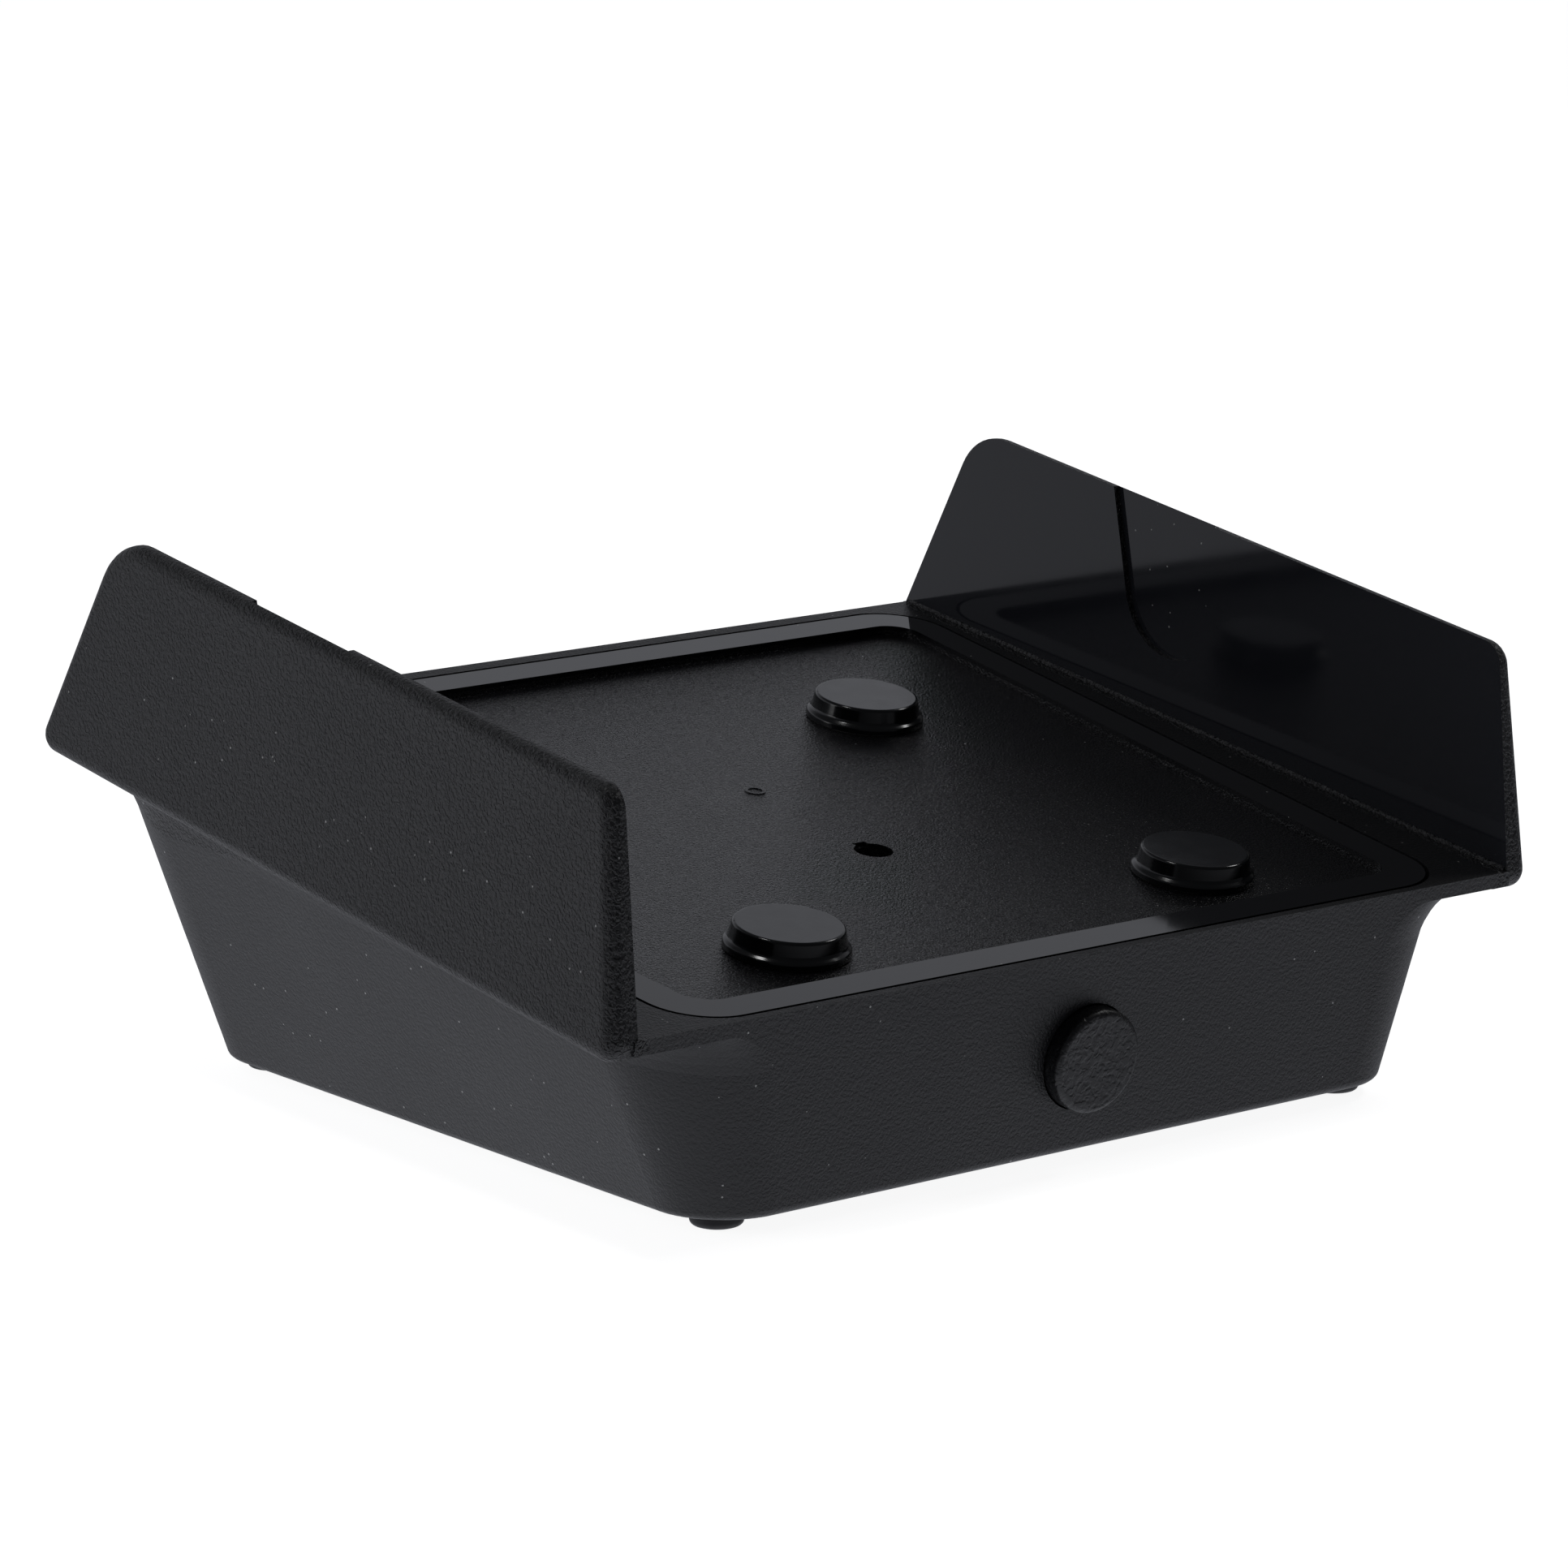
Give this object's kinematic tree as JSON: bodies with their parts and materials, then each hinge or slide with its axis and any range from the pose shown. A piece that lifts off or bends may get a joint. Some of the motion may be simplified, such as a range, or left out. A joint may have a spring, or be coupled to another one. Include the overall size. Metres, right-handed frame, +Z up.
{
  "type": "tilted cradle base",
  "caption": "Wedge-shaped tilted cradle base with upright side wings, a sunken top plate with round bumpers, and a push button in the front wall.",
  "frame": {"origin": "on the table under the middle of the object's footprint box", "axes": "+X to the object's right, +Y to its back (the high side), +Z up"},
  "size_m": [0.18, 0.1467, 0.0858],
  "materials": {
    "shell_plastic": "moulded fine leather grain, polished inner wing faces",
    "plate_plastic": "polished border, fine spark-textured panel",
    "button_plastic": "moulded leather grain",
    "switch_plastic": "plain moulded",
    "bumper_rubber": "glossy sides, satin flat top",
    "foot_rubber": "satin",
    "adhesive": "matt acrylic foam",
    "steel": "zinc plated",
    "pin_brass": "tinned",
    "board_laminate": "solder mask"
  },
  "bodies": {
    "base": {"body_shell": "shell_plastic", "deck_plate": "plate_plastic", "deck_screw": "steel", "switch_housing": "switch_plastic", "switch_spring": "steel", "switch_pins": "pin_brass", "switch_board": "board_laminate", "board_screws": "steel", "deck_bumper_front_left": "bumper_rubber", "bumper_adhesive_front_left": "adhesive", "base_foot_front_left": "foot_rubber", "foot_adhesive_front_left": "adhesive", "deck_bumper_back_left": "bumper_rubber", "bumper_adhesive_back_left": "adhesive", "base_foot_back_left": "foot_rubber", "foot_adhesive_back_left": "adhesive", "deck_bumper_front_right": "bumper_rubber", "bumper_adhesive_front_right": "adhesive", "base_foot_front_right": "foot_rubber", "foot_adhesive_front_right": "adhesive", "deck_bumper_back_right": "bumper_rubber", "bumper_adhesive_back_right": "adhesive", "base_foot_back_right": "foot_rubber", "foot_adhesive_back_right": "adhesive"},
    "button": {"front_button": "button_plastic", "switch_plunger": "switch_plastic"}
  },
  "joints": [
    {"name": "button_press", "type": "slide", "parent": "base", "child": "button", "axis": [0, 0.9907, 0.1357], "range_m": [0, 0.002], "stiffness_N_per_m": 900, "springref_m": -0.0015, "deforming": ["switch_spring"]}
  ]
}
